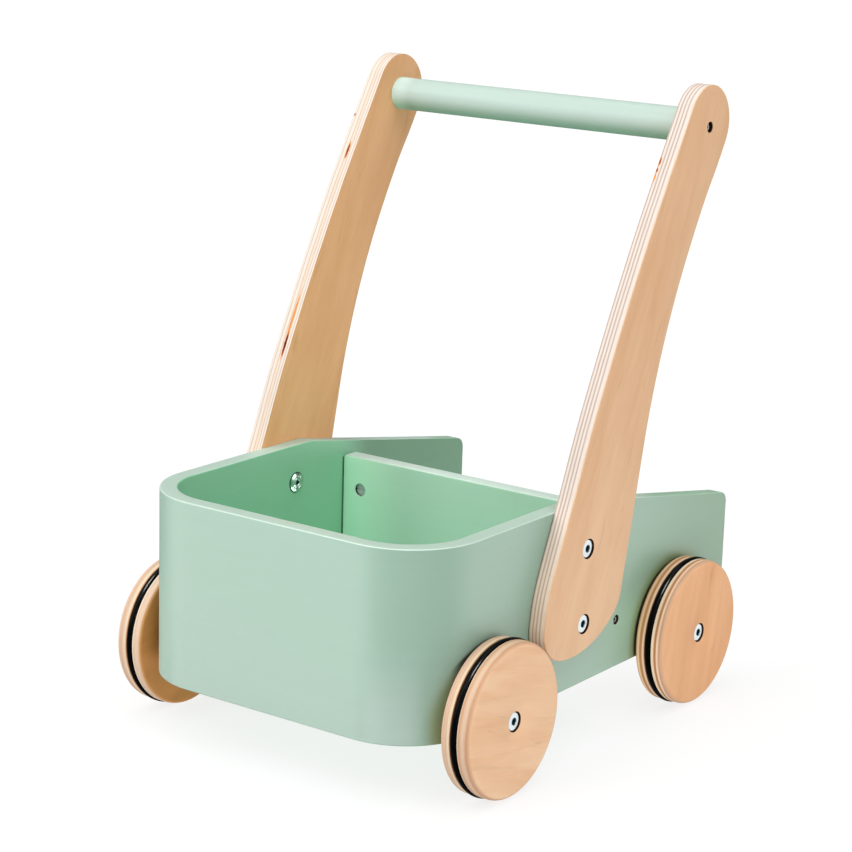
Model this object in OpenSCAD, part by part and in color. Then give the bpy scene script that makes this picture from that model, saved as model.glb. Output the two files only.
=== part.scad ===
// Baby push walker: a bent-plywood tub on four wooden wheels with a push handle.
// Millimetres. +Z up, the closed rounded end of the tub faces -Y, +X is the right-hand
// side seen from that end. The origin lies on the ground under the middle of the walker.

/* [Tub] */
// outside width of the U-shaped wall
tub_w = 277.5; // [264:0.5:300]
// length of the wall from the front face to the rear ends
tub_len = 420; // [410:1:434]
// height of the lower edge of the wall above the ground
tub_z0 = 46.5; // [44:0.5:48]
// height of the wall over its level front part
tub_h = 145.2; // [140:0.1:152]
// thickness of the wall
wall_t = 13.5; // [12:0.5:14.5]
// outside radius of the two bent front corners
corner_r = 61; // [50:1:70]
// distance from the front face to the bend in the top edge
kink_y = 204; // [200:1:214]
// fall of the top edge from the bend to the rear ends
rear_drop = 38.5; // [30:0.5:44]
// radius of the corners at the rear ends
rear_r = 9; // [6:1:20]

/* [Panels] */
// thickness of the floor of the toy box
floor_t = 7; // [6:0.5:8]
// distance from the front face of the tub to the front of the partition
partition_y = 248; // [244:1:252]
// thickness of the partition
partition_t = 13.5; // [12:0.5:14]
// distance of the partition's top edge below the level part of the wall
partition_drop = 19.5; // [16:0.5:24]
// depth of the groove that holds the floor
groove_d = 3; // [2:0.5:4]

/* [Arms and handle] */
// thickness of each arm
arm_t = 14.5; // [13:0.5:16]
// height of the handle bar's axis above the ground
handle_z = 461; // [430:1:490]
// distance of the handle bar's axis behind the front of the tub
handle_y = 332.7; // [313:0.1:348]
// radius of the rounded top of each arm
arm_top_r = 29.7; // [27:0.1:31]
// diameter of the handle bar
bar_d = 26.2; // [22:0.1:28]
// depth of the seat that takes each end of the bar
bar_seat = 4; // [3:0.5:5]

/* [Wheels] */
// diameter of the wooden wheels
wheel_d = 116.2; // [112:0.2:120]
// thickness of the wooden wheels
wheel_t = 24.5; // [22:0.5:27]
// distance of the front axles behind the front of the tub
axle_front_y = 76.8; // [74:0.1:78]
// distance of the rear axles behind the front of the tub
axle_rear_y = 338.4; // [333:0.1:344]
// space between each wheel and the wall
wheel_gap = 2.5; // [2:0.1:4]
// thickness of the rubber ring
tyre_d = 5.7; // [5:0.1:6.5]
// height of the rubber ring above the wood
tyre_proud = 1; // [0.6:0.1:1.5]
// distance of the rubber ring's middle from the inner face of the wheel
tyre_in = 11.4; // [9:0.1:13]

/* [Fasteners] */
// diameter of the heads of the arm and axle bolts
head_d = 13.9; // [13:0.1:14.5]
// diameter of the flanges of the sleeve nuts
flange_d = 17; // [14:0.5:17.5]
// depth of the bolt heads below the face of the wood
head_sink = 0.8; // [0.4:0.1:1.6]

/* [Hidden] */
y0 = -tub_len / 2;                    // front face of the tub
wx = tub_w / 2;                       // outer face of a side wall
wi = wx - wall_t;                     // inner face of a side wall
ztop = tub_z0 + tub_h;                // level top edge of the wall
slope = atan(rear_drop / (tub_len - kink_y));
axle_z = wheel_d / 2 + tyre_proud;
wheel_x = wx + wheel_gap;             // inner face of a wheel
wheel_o = wheel_x + wheel_t;          // outer face of a wheel
floor_z = axle_z + 9;                 // underside of the floor, above the axle nuts
groove_h = 4;                         // height of the groove and of the floor's tongue
part_z0 = tub_z0 + 2.5;               // lower edge of the partition
part_z1 = ztop - partition_drop;      // upper edge of the partition
part_m = partition_y + partition_t / 2;
bolt_z = [part_z1 - 27.7, part_z0 + 36];      // partition bolts
arm_bolt = [[186, 160.6], [184.2, 102.5]];      // arm bolts, distance from front and height
barrel_in = 17.4;                       // barrel nut axis, from the wall's inner face
tyre_r = wheel_d / 2 + tyre_proud - tyre_d / 2;
bore_d = head_d + 1.5;                // counterbore for a bolt head
flange_h = 1.8;                       // height of a sleeve nut's flange
head_h = 3.2;
eps = 0.05;

mint = [0.62, 0.79, 0.69];
birch = [0.86, 0.69, 0.52];
zinc = [0.80, 0.81, 0.83];
black = [0.05, 0.05, 0.05];
nylon = [0.90, 0.90, 0.86];

// ---- helpers -------------------------------------------------------------------------

// a copy on each side of the walker
module sides() { children(); mirror([1, 0, 0]) children(); }

// round rod along X from xa to xb, axis at distance y behind the front face and height z
module rod(xa, xb, d, y, z, fn = 48) {
    translate([xa, y0 + y, z]) rotate([0, 90, 0]) cylinder(d = d, h = xb - xa, $fn = fn);
}

// slab along X from xa to xb whose outline is drawn in (distance behind front, height)
module slab(xa, xb) {
    translate([xa, y0, 0]) rotate([90, 0, 90]) linear_extrude(height = xb - xa) children();
}

// arc points about c, from angle a to angle b
function arc(c, r, a, b, n) = [for (i = [0 : n]) let (t = a + (b - a) * i / n)
    [c[0] + r * cos(t), c[1] + r * sin(t)]];

// smooth curve through guide points p; the first and last only set the end directions
function pull(a, b, c, d, t) = 0.5 * ((2 * b) + (c - a) * t + (2 * a - 5 * b + 4 * c - d) * t * t
    + (3 * b - a - 3 * c + d) * t * t * t);
function curve(p, n) = [for (i = [1 : len(p) - 3]) for (j = [0 : n - 1])
    pull(p[i - 1], p[i], p[i + 1], p[i + 2], j / n)];

// ---- tub -----------------------------------------------------------------------------

// U-shaped band of outside width out_w, corner radius out_r and thickness t, open at y_end
module u_band(out_w, out_r, t, y_end, z, h) {
    x = out_w / 2;
    f = wx - x;                       // setback of the front face
    translate([-(x - out_r), y0 + f, z]) cube([2 * (x - out_r), t, h]);
    sides() {
        translate([x - t, y0 + f + out_r, z]) cube([t, y_end - f - out_r, h]);
        translate([x - out_r, y0 + f + out_r, z])
            rotate([0, 0, -90]) rotate_extrude(angle = 90, $fn = 128)
                translate([out_r - t, 0]) square([t, h]);
    }
}

// everything above the top edge of the side walls
module above_top() {
    bend_r = 50;
    k = bend_r * tan(slope / 2);
    zc = ztop - bend_r;
    yr = tub_len + 5;
    polygon(concat(
        [[kink_y - k, ztop + 30]],
        arc([kink_y - k, zc], bend_r, 90, 90 - slope, 4),
        [[yr, ztop - (yr - kink_y) * tan(slope)], [yr, ztop + 30]]));
}

// waste outside the rounded rear corners
module rear_corners() {
    c1 = [tub_len - rear_r, ztop - (tub_len - rear_r - kink_y) * tan(slope) - rear_r / cos(slope)];
    c2 = [tub_len - rear_r, tub_z0 + rear_r];
    difference() {
        polygon([c1, c1 + rear_r * [sin(slope), cos(slope)],
            c1 + rear_r * [1, 1] + [6, 6], c1 + [rear_r + 6, 0]]);
        translate(c1) circle(r = rear_r, $fn = 96);
    }
    difference() {
        translate(c2 - [0, rear_r + 4]) square([rear_r + 4, rear_r + 4]);
        translate(c2) circle(r = rear_r, $fn = 96);
    }
}

module tub_wall() {
    color(mint) difference() {
        u_band(tub_w, corner_r, wall_t, tub_len, tub_z0, tub_h);
        slab(-wx - 5, wx + 5) above_top();
        slab(-wx - 5, wx + 5) rear_corners();
        // groove for the floor
        u_band(2 * (wi + groove_d), corner_r - wall_t + groove_d, groove_d + 4,
            partition_y + groove_d, floor_z, groove_h);
        sides() {
            // sleeve nuts of the arms and axles
            for (b = arm_bolt) rod(wi - 2, wx + 2, 8.6, b[0], b[1]);
            for (y = [axle_front_y, axle_rear_y]) rod(wi - 2, wx + 2, 11.1, y, axle_z);
            // partition bolts with sunk heads
            for (z = bolt_z) {
                rod(wi - 2, wx + 2, 5.3, part_m, z);
                rod(wx - 8, wx + 2, 7.8, part_m, z);
            }
        }
    }
}

// floor plate with bent front corners: half width w, from the front edge to y_end, z to z + h
module plate(w, y_end, z, h) {
    r = corner_r - wx + w;
    f = wx - w;
    difference() {
        translate([-w, y0 + f, z]) cube([2 * w, y_end - f, h]);
        sides() difference() {
            translate([w - r, y0 + f - 2, z - 1]) cube([r + 2, r + 2, h + 2]);
            translate([w - r, y0 + f + r, z - 2]) cylinder(r = r, h = h + 4, $fn = 128);
        }
    }
}

// the lower half runs into the groove, the upper half fills the space between the walls
module floor_panel() {
    color(mint) union() {
        plate(wi + groove_d - eps, partition_y + groove_d - eps, floor_z + eps, groove_h - 2 * eps);
        plate(wi - eps, partition_y - eps, floor_z + groove_h / 2, floor_t - groove_h / 2);
    }
}

module partition_panel() {
    w = wi - eps;
    r = 3.5;
    color(mint) difference() {
        translate([-w, y0 + partition_y, part_z0]) cube([2 * w, partition_t, part_z1 - part_z0]);
        // groove for the floor
        translate([-w - 1, y0 + partition_y - 1, floor_z]) cube([2 * w + 2, 1 + groove_d, groove_h]);
        sides() {
            // rounded top corners
            translate([w - r, y0 + partition_y - 1, part_z1 - r]) difference() {
                cube([r + 2, partition_t + 2, r + 2]);
                translate([0, -1, 0]) rotate([-90, 0, 0]) cylinder(r = r, h = partition_t + 4, $fn = 64);
            }
            // bolts and barrel nuts
            for (z = bolt_z) {
                rod(wi - barrel_in - 6, wi + 1, 5.3, part_m, z);
                translate([wi - barrel_in, y0 + partition_y - 1, z]) rotate([-90, 0, 0])
                    cylinder(d = 10, h = partition_t - 1, $fn = 48);
            }
        }
    }
}

// ---- arms and handle -----------------------------------------------------------------

// the arm's guide points are drawn for a bar at 332.7, 461 and stretch with the handle
foot = [183, 102];
ky = (handle_y - foot[0]) / (332.7 - foot[0]);
kz = (handle_z - foot[1]) / (461 - foot[1]);
function fitted(p) = [for (q = p) [foot[0] + (q[0] - foot[0]) * (q[1] > foot[1] ? 1 + (ky - 1)
    * min(1, (q[1] - foot[1]) / 200) : 1), foot[1] + (q[1] - foot[1]) * (q[1] > foot[1] ? kz : 1)]];
cap = [handle_y - 0.2, handle_z + 2.4];

module arm_outline() {
    rear = fitted([[347.2, 430], [328.1, 400], [301.5, 350], [280.4, 300], [264.6, 250],
        [253.4, 200], [243, 150], [238.4, 130]]);
    sole = [[235.6, 116], [231.2, 106.3], [221.6, 96.7], [206, 87.6], [188, 81.7], [169, 79.8],
        [152, 81.8], [139.6, 88.2], [132.8, 97]];
    front = fitted([[130.9, 105.5], [131.5, 115], [134.3, 130], [141.2, 150], [162.7, 200], [183.7, 250],
        [207.7, 300], [233.2, 350], [260.7, 400], [290.1, 450]]);
    a1 = 148;                         // where the edges run into the rounded top
    a2 = -27;
    t1 = cap + arm_top_r * [cos(a1), sin(a1)];
    t2 = cap + arm_top_r * [cos(a2), sin(a2)];
    polygon(concat(
        arc(cap, arm_top_r, a1, a2, 36),
        curve(concat([t2 + 12 * [-sin(a2), cos(a2)], t2], rear, sole, front,
            [t1, t1 + 12 * [sin(a1), -cos(a1)]]), 7)));
}

module arm(s) {
    color(birch) mirror([s < 0 ? 1 : 0, 0, 0]) difference() {
        slab(wx, wx + arm_t) arm_outline();
        // seat of the bar and its screw
        rod(wx - 1, wx + bar_seat, bar_d + 2 * eps, handle_y, handle_z, 64);
        rod(wx - 1, wx + arm_t + 1, 4.7, handle_y, handle_z);
        rod(wx + arm_t - 5.5, wx + arm_t + 1, 8.5, handle_y, handle_z);
        for (b = arm_bolt) {
            rod(wx - 1, wx + arm_t + 1, 6.4, b[0], b[1]);
            rod(wx + arm_t - head_sink - head_h, wx + arm_t + 1, bore_d, b[0], b[1]);
        }
    }
}

module arm_left() { arm(-1); }
module arm_right() { arm(1); }

module handle_bar() {
    l = tub_w / 2 + bar_seat - eps;
    color(mint) difference() {
        rod(-l, l, bar_d, handle_y, handle_z, 96);
        sides() rod(l - 42, l + 1, 4.6, handle_y, handle_z);
    }
}

// ---- fasteners -----------------------------------------------------------------------

// hexagon recess opening towards +X at x
module hex(x, depth, flats, y, z) {
    rod(x - depth, x + 1, flats / cos(30), y, z, 6);
}

// turned shape about an axis along X: points are (x, radius)
module turned(p, y, z) {
    translate([0, y0 + y, z]) rotate([0, 90, 0]) rotate_extrude($fn = 96)
        polygon([for (q = p) [q[1], q[0]]]);
}

module handle_screws() {
    h = wx + arm_t - 5.5;
    color(zinc) sides() difference() {
        turned([[h, 0], [h, 3.7], [h + 2.2, 3.7], [h + 2.8, 2.8], [h + 3, 0]], handle_y, handle_z);
        hex(h + 3, 2, 3, handle_y, handle_z);
    }
    color(zinc) sides() rod(wx + bar_seat - 40, h, 4.5, handle_y, handle_z);
}

module arm_bolts() {
    h = wx + arm_t - head_sink;
    color(zinc) sides() for (b = arm_bolt) {
        difference() {
            turned([[h - head_h, 0], [h - head_h, head_d / 2], [h - 0.9, head_d / 2],
                [h - 0.4, head_d / 2 - 0.4], [h, head_d / 2 - 1.3], [h, 0]], b[0], b[1]);
            hex(h, 2.6, 5, b[0], b[1]);
        }
        rod(wi + 1.5, h - head_h, 5.9, b[0], b[1]);
    }
}

// sleeve nut in the wall, its flange inside the tub
module sleeve_nut(d, thread, y, z) {
    difference() {
        turned([[wi - flange_h, 0], [wi - flange_h, flange_d / 2 - 2.2],
            [wi - flange_h + 0.3, flange_d / 2 - 0.9], [wi - flange_h + 0.8, flange_d / 2 - 0.2],
            [wi - flange_h + 1.2, flange_d / 2], [wi, flange_d / 2],
            [wi, d / 2], [wx - 0.2, d / 2], [wx - 0.2, 0]], y, z);
        rod(wi + 1, wx + 1, thread, y, z);
        mirror([1, 0, 0]) hex(-(wi - flange_h), 2.4, 4, y, z);
    }
}

module arm_nuts() {
    color(zinc) sides() for (b = arm_bolt) sleeve_nut(8.5, 6, b[0], b[1]);
}

module partition_bolts() {
    h = wx - 1.5;
    color(zinc) sides() for (z = bolt_z) {
        difference() {
            turned([[h - 4.5, 0], [h - 4.5, 3.6], [h - 0.4, 3.6], [h, 3.2], [h, 0]], part_m, z);
            hex(h, 2.4, 3, part_m, z);
        }
        rod(wi - barrel_in - 5, h - 4.5, 4.9, part_m, z);
    }
}

module barrel_nuts() {
    l = partition_t - 4.6;
    color(zinc) sides() for (z = bolt_z) difference() {
        translate([wi - barrel_in, y0 + partition_y + 2.4, z]) rotate([-90, 0, 0])
            cylinder(d = 9.9, h = l, $fn = 48);
        rod(wi - barrel_in - 7, wi - barrel_in + 7, 5, part_m, z);
        // driver slot in the visible end
        translate([wi - barrel_in - 6, y0 + partition_y + 1.4, z - 0.6]) cube([12, 2, 1.2]);
    }
}

module axle_bolts() {
    h = wheel_o - head_sink;
    color(zinc) sides() for (y = [axle_front_y, axle_rear_y]) {
        difference() {
            turned([[h - head_h, 0], [h - head_h, head_d / 2], [h - 0.9, head_d / 2],
                [h - 0.4, head_d / 2 - 0.4], [h, head_d / 2 - 1.3], [h, 0]], y, axle_z);
            hex(h, 2.6, 5, y, axle_z);
        }
        rod(wx, h - head_h, 9.9, y, axle_z, 64);
        rod(wi + 1.5, wx, 7.9, y, axle_z);
    }
}

module axle_nuts() {
    color(zinc) sides() for (y = [axle_front_y, axle_rear_y]) sleeve_nut(11, 8, y, axle_z);
}

module axle_washers() {
    color(nylon) sides() for (y = [axle_front_y, axle_rear_y]) difference() {
        rod(wx, wheel_x - 0.3, 20, y, axle_z, 64);
        rod(wx - 1, wheel_x + 1, 10.2, y, axle_z, 64);
    }
}

// ---- wheels --------------------------------------------------------------------------

seat_x = wheel_o - head_sink - head_h - 0.3;   // floor of the counterbore in a wheel

module wheel(s, y) {
    r = wheel_d / 2;
    ro = 4;                           // rounding of the outer face's edge
    ri = 3;                           // rounding of the inner face's edge
    m = wheel_x + tyre_in;
    g = tyre_d / 2 + eps;
    gr = tyre_r - tyre_d / 2 - eps;   // floor of the groove
    color(birch) mirror([s < 0 ? 1 : 0, 0, 0]) turned(concat(
        [[seat_x, 7 + eps], [wheel_x, 7 + eps]],
        arc([wheel_x + ri, r - ri], ri, 180, 90, 6),
        [[m - g - 0.6, r], [m - g, r - 0.6], [m - g, gr], [m + g, gr], [m + g, r - 0.6], [m + g + 0.6, r]],
        arc([wheel_o - ro, r - ro], ro, 90, 0, 8),
        [[wheel_o, bore_d / 2 + 0.5], [wheel_o - 0.5, bore_d / 2], [seat_x, bore_d / 2]]), y, axle_z);
}

module tyre(s, y) {
    m = wheel_x + tyre_in;
    color(black) translate([s * m, y0 + y, axle_z]) rotate([0, 90, 0])
        rotate_extrude($fn = 128) translate([tyre_r, 0]) circle(d = tyre_d, $fn = 40);
}

module bush(s, y) {
    color(nylon) mirror([s < 0 ? 1 : 0, 0, 0]) difference() {
        rod(wheel_x, seat_x, 14, y, axle_z, 64);
        rod(wheel_x - 1, seat_x + 1, 10, y, axle_z, 64);
    }
}

// ---- nodes ---------------------------------------------------------------------------

tub_wall();
floor_panel();
partition_panel();
arm_left();
arm_right();
handle_bar();
handle_screws();
arm_bolts();
arm_nuts();
partition_bolts();
barrel_nuts();
axle_bolts();
axle_nuts();
axle_washers();
wheel(-1, axle_front_y);  // wheel_front_left
wheel(1, axle_front_y);  // wheel_front_right
wheel(-1, axle_rear_y);  // wheel_rear_left
wheel(1, axle_rear_y);  // wheel_rear_right
tyre(-1, axle_front_y);  // tyre_front_left
tyre(1, axle_front_y);  // tyre_front_right
tyre(-1, axle_rear_y);  // tyre_rear_left
tyre(1, axle_rear_y);  // tyre_rear_right
bush(-1, axle_front_y);  // bush_front_left
bush(1, axle_front_y);  // bush_front_right
bush(-1, axle_rear_y);  // bush_rear_left
bush(1, axle_rear_y);  // bush_rear_right
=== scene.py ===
import math

import bmesh
import bpy
from mathutils import Matrix, Vector


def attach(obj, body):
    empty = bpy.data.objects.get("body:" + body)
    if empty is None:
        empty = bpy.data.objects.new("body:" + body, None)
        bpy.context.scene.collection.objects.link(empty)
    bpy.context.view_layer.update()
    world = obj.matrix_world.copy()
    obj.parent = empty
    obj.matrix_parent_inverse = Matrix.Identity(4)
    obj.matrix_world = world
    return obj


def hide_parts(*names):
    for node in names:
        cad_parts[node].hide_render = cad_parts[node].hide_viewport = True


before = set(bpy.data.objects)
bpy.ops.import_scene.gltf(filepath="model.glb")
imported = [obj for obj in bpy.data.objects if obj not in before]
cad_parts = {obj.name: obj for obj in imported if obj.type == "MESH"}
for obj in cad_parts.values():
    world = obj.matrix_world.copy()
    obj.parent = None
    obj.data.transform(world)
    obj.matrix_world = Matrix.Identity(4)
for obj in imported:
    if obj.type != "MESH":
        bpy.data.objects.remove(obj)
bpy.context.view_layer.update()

scene = bpy.context.scene

# ---- dimensions of the walker, in millimetres; y is measured from the front of the tub ----

MM = 0.001
Y0 = -210.0
WX, WALL = 138.75, 13.5
WI = WX - WALL
TUB_LEN, Z0, ZTOP = 420.0, 46.5, 191.7
CORNER = 61.0
KINK, DROP, BEND, REAR_R = 204.0, 38.5, 50.0, 9.0
SLOPE = math.atan(DROP / (TUB_LEN - KINK))
FLOOR_Z0, FLOOR_Z1 = 68.15, 75.1
PART_Y, PART_T, PART_Z0, PART_Z1 = 248.0, 13.5, 49.0, 172.2
PART_M = PART_Y + PART_T / 2
PART_BOLTS = (144.5, 85.0)
BARREL_IN = 17.4
ARM_T = 14.5
ARM_BOLTS = ((186.0, 160.6), (184.2, 102.5))
BAR_Y, BAR_Z, BAR_R, BAR_SEAT = 332.7, 461.0, 13.1, 4.0
WHEEL_R, WHEEL_T, WHEEL_X = 58.1, 24.5, 141.25
WHEEL_O = WHEEL_X + WHEEL_T
AXLE_Z, AXLE_F, AXLE_R = 59.1, 76.8, 338.4
TYRE_R, TYRE_S, TYRE_IN = 56.25, 2.85, 11.4
SEAT_X = 161.45
HEAD_SINK = 0.8


# ---- meshes ------------------------------------------------------------------------------

def finish_mesh(me, angle):
    me.polygons.foreach_set("use_smooth", [True] * len(me.polygons))
    me.set_sharp_from_angle(angle=math.radians(angle))
    me.update()


def make(name, shapes, angle=32.0):
    """One object from a list of (vertices in mm with y from the tub's front, faces)."""
    verts, faces = [], []
    for v, f in shapes:
        k = len(verts)
        verts += [(x * MM, (y + Y0) * MM, z * MM) for x, y, z in v]
        faces += [tuple(i + k for i in face) for face in f]
    me = bpy.data.meshes.new(name)
    me.from_pydata(verts, [], faces)
    bm = bmesh.new()
    bm.from_mesh(me)
    bmesh.ops.recalc_face_normals(bm, faces=bm.faces)
    bm.to_mesh(me)
    bm.free()
    finish_mesh(me, angle)
    ob = bpy.data.objects.new(name, me)
    scene.collection.objects.link(ob)
    return ob


def cut(ob, shapes, angle=32.0):
    """Takes the shapes out of ob."""
    tool = make(ob.name + "_tool", shapes)
    mod = ob.modifiers.new("holes", "BOOLEAN")
    mod.operation = "DIFFERENCE"
    mod.solver = "EXACT"
    mod.object = tool
    bpy.context.view_layer.update()
    graph = bpy.context.evaluated_depsgraph_get()
    me = bpy.data.meshes.new_from_object(ob.evaluated_get(graph))
    ob.modifiers.clear()
    old = ob.data
    ob.data = me
    me.name = ob.name
    bpy.data.meshes.remove(old)
    gone = tool.data
    bpy.data.objects.remove(tool)
    bpy.data.meshes.remove(gone)
    finish_mesh(me, angle)
    return ob


def lathe(profile, y, z, n=96, s=1.0, closed=False):
    """Turned about an axis along X. Profile rows are (x, radius) or (x, half the width across flats, 'hex')."""
    verts, rows = [], []
    for row in profile:
        x, r = row[0], row[1]
        flats = len(row) > 2
        if r < 1e-6:
            rows.append([len(verts)])
            verts.append((s * x, y, z))
            continue
        rows.append(list(range(len(verts), len(verts) + n)))
        for i in range(n):
            a = 2 * math.pi * i / n
            q = r
            if flats:
                w = (a + math.pi / 6) % (math.pi / 3) - math.pi / 6
                q = r / math.cos(w)
            verts.append((s * x, y + q * math.cos(a), z + q * math.sin(a)))
    faces = []
    pairs = list(zip(rows, rows[1:]))
    if closed:
        pairs.append((rows[-1], rows[0]))
    for a, b in pairs:
        for i in range(n):
            j = (i + 1) % n
            if len(a) == 1 and len(b) == 1:
                continue
            if len(a) == 1:
                faces.append((a[0], b[j], b[i]))
            elif len(b) == 1:
                faces.append((a[i], a[j], b[0]))
            else:
                faces.append((a[i], a[j], b[j], b[i]))
    return verts, faces


def along_y(shape, x, y, z):
    """A shape turned about the X axis, laid along Y and moved to x, y, z."""
    verts, faces = shape
    return [(x - b, y + a, z + c) for a, b, c in verts], faces


def arc(cx, cy, r, a, b, n):
    return [(cx + r * math.cos(math.radians(a + (b - a) * i / n)),
             cy + r * math.sin(math.radians(a + (b - a) * i / n))) for i in range(n + 1)]


def clean(pts):
    out = []
    for p in pts:
        if not out or math.dist(p, out[-1]) > 1e-3:
            out.append(p)
    if math.dist(out[0], out[-1]) <= 1e-3:
        out.pop()
    return out


def inset(pts, d):
    """The closed outline pts, moved inwards by d."""
    n = len(pts)
    area = sum(pts[i - 1][0] * pts[i][1] - pts[i][0] * pts[i - 1][1] for i in range(n))
    sign = 1.0 if area > 0 else -1.0
    out = []
    for i in range(n):
        p0, p1, p2 = Vector(pts[i - 1]), Vector(pts[i]), Vector(pts[(i + 1) % n])
        e1, e2 = (p1 - p0).normalized(), (p2 - p1).normalized()
        n1 = Vector((-e1.y, e1.x)) * sign
        n2 = Vector((-e2.y, e2.x)) * sign
        m = (n1 + n2).normalized()
        q = p1 + m * (d / max(0.35, m.dot(n1)))
        out.append((q.x, q.y))
    return out


def rings(outline, t, radii, place, steps):
    """Rows of vertices round a slab of thickness t whose two edges are rounded by the two radii."""
    rows = []
    for back in (False, True):
        r = radii[1] if back else radii[0]
        for k in range(steps + 1):
            a = math.pi / 2 * (k / steps)
            if back:
                a = math.pi / 2 - a
            depth = r * (1 - math.cos(a))
            row = inset(outline, r * (1 - math.sin(a)))
            rows.append([place(p, t - depth if back else depth) for p in row])
    return rows


def slab(outline, t, radii, place, steps=4, strips=None):
    """Solid of thickness t with rounded edges. strips gives the quads of a face that isn't flat."""
    outline = clean(outline) if strips is None else outline
    n = len(outline)
    rows = rings(outline, t, radii, place, steps)
    verts = [v for row in rows for v in row]
    faces = []
    for k in range(len(rows) - 1):
        for i in range(n):
            j = (i + 1) % n
            faces.append((k * n + i, k * n + j, (k + 1) * n + j, (k + 1) * n + i))
    last = (len(rows) - 1) * n
    for base in (0, last):
        if strips is None:
            faces.append(tuple(base + i for i in range(n)))
        else:
            faces += [tuple(base + i for i in q) for q in strips]
    return verts, faces


# the bent wall of the tub: its outline is drawn flat and laid along the U
def u_point(s):
    side, bend, front = TUB_LEN - CORNER, math.pi / 2 * CORNER, 2 * (WX - CORNER)
    if s < side:
        return (-WX, TUB_LEN - s), (-1.0, 0.0)
    s -= side
    if s < bend:
        a = s / CORNER
        nx, ny = -math.cos(a), -math.sin(a)
        return (-(WX - CORNER) + CORNER * nx, CORNER + CORNER * ny), (nx, ny)
    s -= bend
    if s < front:
        return (-(WX - CORNER) + s, 0.0), (0.0, -1.0)
    s -= front
    if s < bend:
        a = s / CORNER
        nx, ny = math.sin(a), -math.cos(a)
        return (WX - CORNER + CORNER * nx, CORNER + CORNER * ny), (nx, ny)
    return (WX, CORNER + s - bend), (1.0, 0.0)


def wall_shape():
    tan = math.tan(SLOPE)
    total = 2 * (TUB_LEN - CORNER) + math.pi * CORNER + 2 * (WX - CORNER)
    c1 = (TUB_LEN - REAR_R - 0.002, ZTOP - (TUB_LEN - REAR_R - KINK) * tan - REAR_R / math.cos(SLOPE))
    c2 = (TUB_LEN - REAR_R - 0.002, Z0 + REAR_R)
    half = []                                   # (s, z top, s, z bottom) of the left half
    steps = 12
    for j in range(steps + 1):
        a = (math.pi / 2 - SLOPE) * j / steps
        b = -math.pi / 2 * j / steps
        half.append((TUB_LEN - c1[0] - REAR_R * math.cos(a), c1[1] + REAR_R * math.sin(a),
                     TUB_LEN - c2[0] - REAR_R * math.cos(b), c2[1] + REAR_R * math.sin(b)))
    k = BEND * math.tan(SLOPE / 2)
    for y in (370.0, 300.0, 250.0):
        half.append((TUB_LEN - y, ZTOP - (y - KINK) * tan, TUB_LEN - y, Z0))
    for j in range(7):
        a = math.pi / 2 - SLOPE * (1 - j / 6)
        y = KINK - k + BEND * math.cos(a)
        half.append((TUB_LEN - y, ZTOP - BEND + BEND * math.sin(a), TUB_LEN - y, Z0))
    for y in (160.0, 110.0):
        half.append((TUB_LEN - y, ZTOP, TUB_LEN - y, Z0))
    side, bend = TUB_LEN - CORNER, math.pi / 2 * CORNER
    for j in range(33):
        half.append((side + bend * j / 32, ZTOP, side + bend * j / 32, Z0))
    cols = half + [(total - a, b, total - c, d) for a, b, c, d in reversed(half)]
    n = len(cols)
    outline = [(c[0], c[1]) for c in cols] + [(c[2], c[3]) for c in reversed(cols)]
    strips = [(i, i + 1, 2 * n - 2 - i, 2 * n - 1 - i) for i in range(n - 1)]

    def place(p, depth):
        (x, y), (nx, ny) = u_point(p[0])
        return (x - nx * depth, y - ny * depth, p[1])

    return slab(outline, WALL, (1.1, 1.1), place, 5, strips)


def pull(a, b, c, d, t):
    return tuple(0.5 * (2 * b[i] + (c[i] - a[i]) * t + (2 * a[i] - 5 * b[i] + 4 * c[i] - d[i]) * t * t
                        + (3 * b[i] - a[i] - 3 * c[i] + d[i]) * t ** 3) for i in (0, 1))


def curve(p, n):
    return [pull(p[i - 1], p[i], p[i + 1], p[i + 2], j / n) for i in range(1, len(p) - 2) for j in range(n)]


def arm_outline():
    rear = [(347.2, 430), (328.1, 400), (301.5, 350), (280.4, 300), (264.6, 250), (253.4, 200), (243, 150), (238.4, 130)]
    sole = [(235.6, 116), (231.2, 106.3), (221.6, 96.7), (206, 87.6), (188, 81.7), (169, 79.8), (152, 81.8), (139.6, 88.2), (132.8, 97)]
    front = [(130.9, 105.5), (131.5, 115), (134.3, 130), (141.2, 150), (162.7, 200), (183.7, 250),
             (207.7, 300), (233.2, 350), (260.7, 400), (290.1, 450)]
    cy, cz, r = BAR_Y - 0.2, BAR_Z + 2.4, 29.7
    a1, a2 = math.radians(148), math.radians(-27)
    t1 = (cy + r * math.cos(a1), cz + r * math.sin(a1))
    t2 = (cy + r * math.cos(a2), cz + r * math.sin(a2))
    return (arc(cy, cz, r, 148, -27, 44)
            + curve([(t2[0] - 12 * math.sin(a2), t2[1] + 12 * math.cos(a2)), t2] + rear + sole + front
                    + [t1, (t1[0] + 12 * math.sin(a1), t1[1] - 12 * math.cos(a1))], 8))


def hole(x0, x1, r, y, z, s=1.0, n=48):
    return lathe([(x0, 0), (x0, r), (x1, r), (x1, 0)], y, z, n, s)


def head(h, y, z, s, shank):
    """Pan-head bolt whose head face is at x = h, with a hexagon socket."""
    b = h - 3.2
    return lathe(shank + [(b, 6.7), (b + 0.25, 6.95), (h - 0.75, 6.95), (h - 0.52, 6.88), (h - 0.36, 6.68), (h - 0.26, 6.3),
                          (h - 0.17, 5.6), (h - 0.09, 4.6), (h - 0.03, 3.7), (h, 3.15), (h - 0.12, 2.95), (h - 0.4, 2.5, "hex"),
                          (h - 2.0, 2.5, "hex"), (h - 2.2, 0)], y, z, 96, s)


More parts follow.
